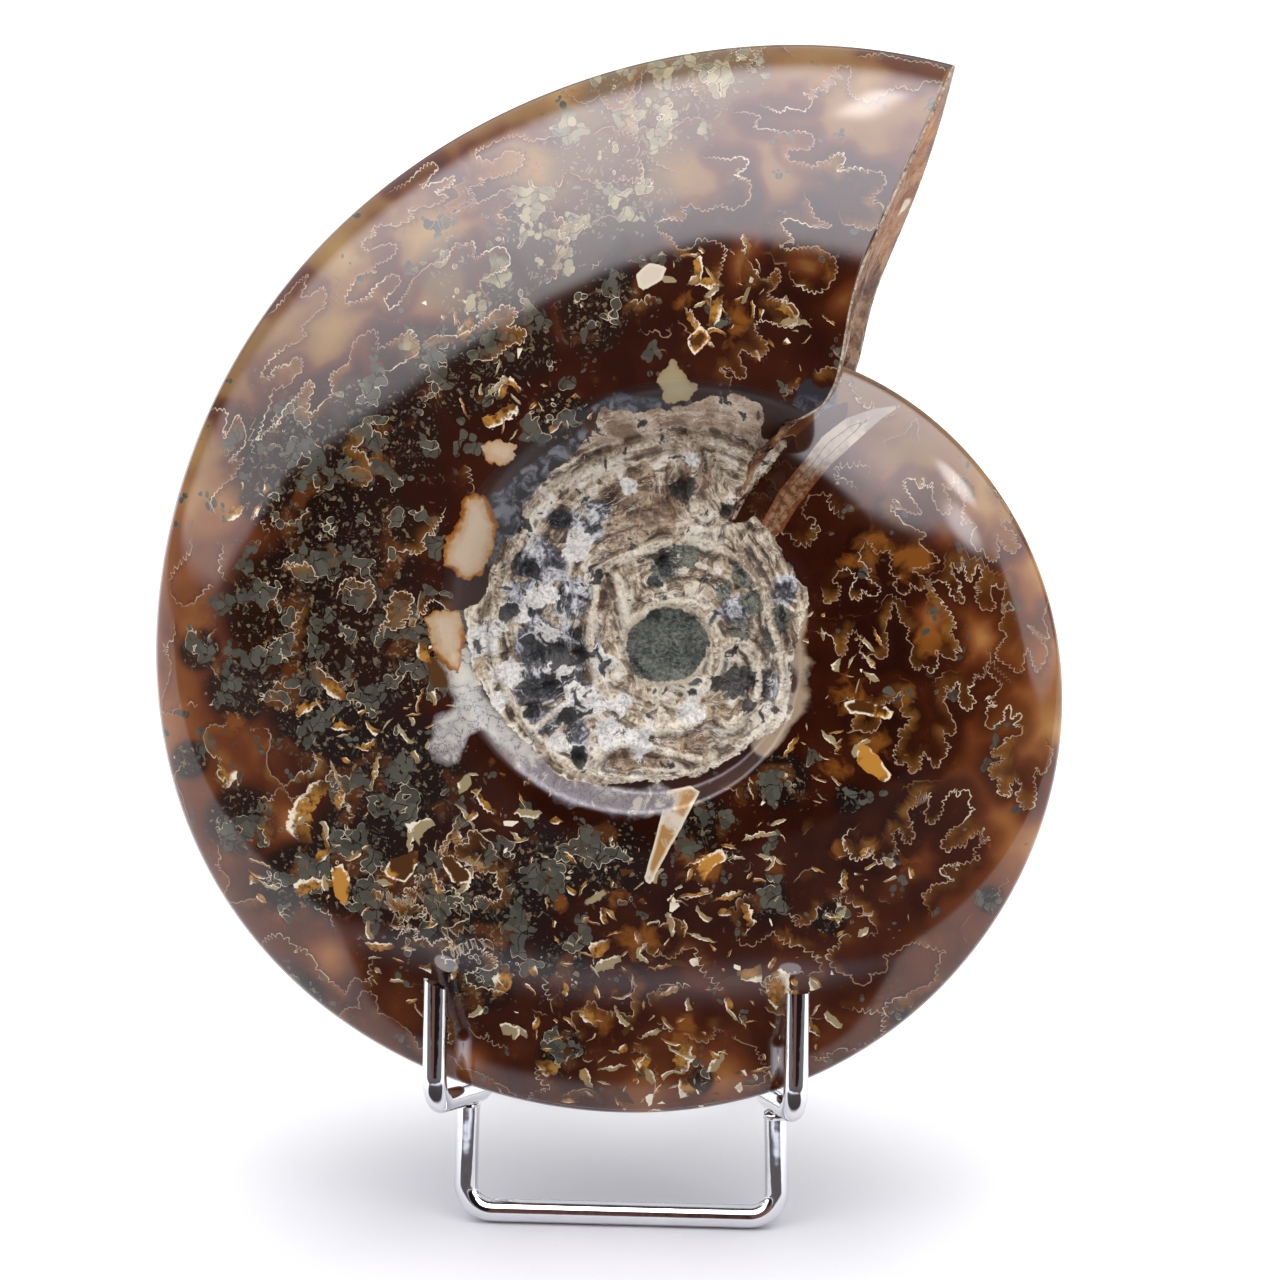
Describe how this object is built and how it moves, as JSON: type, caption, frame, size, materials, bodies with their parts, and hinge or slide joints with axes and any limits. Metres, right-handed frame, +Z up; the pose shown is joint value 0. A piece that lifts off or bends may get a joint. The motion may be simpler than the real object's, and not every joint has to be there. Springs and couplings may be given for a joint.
{
  "type": "polished ammonite on a wire stand",
  "caption": "Polished ammonite fossil, its coiled disc leaning back in a chrome wire display stand with front hooks, a back rest loop and a rear strut.",
  "frame": {"origin": "middle of the bounding box's underside, on the surface that the stand's two bars rest on", "axes": "+Z up; the ammonite's front face looks to -Y and leans back; +X to the right as seen from the front, towards the side that the aperture opens to"},
  "size_m": [0.1492, 0.0796, 0.1926],
  "materials": {
    "polished_ammonite": "polished, translucent-looking amber and dark brown calcite with pale suture lines",
    "chrome_wire": "mirror-bright plated round wire"
  },
  "bodies": {
    "root": {"ammonite": "polished_ammonite", "stand_cradle_wire": "chrome_wire", "stand_front_foot": "chrome_wire", "stand_rear_leg": "chrome_wire"}
  },
  "joints": []
}
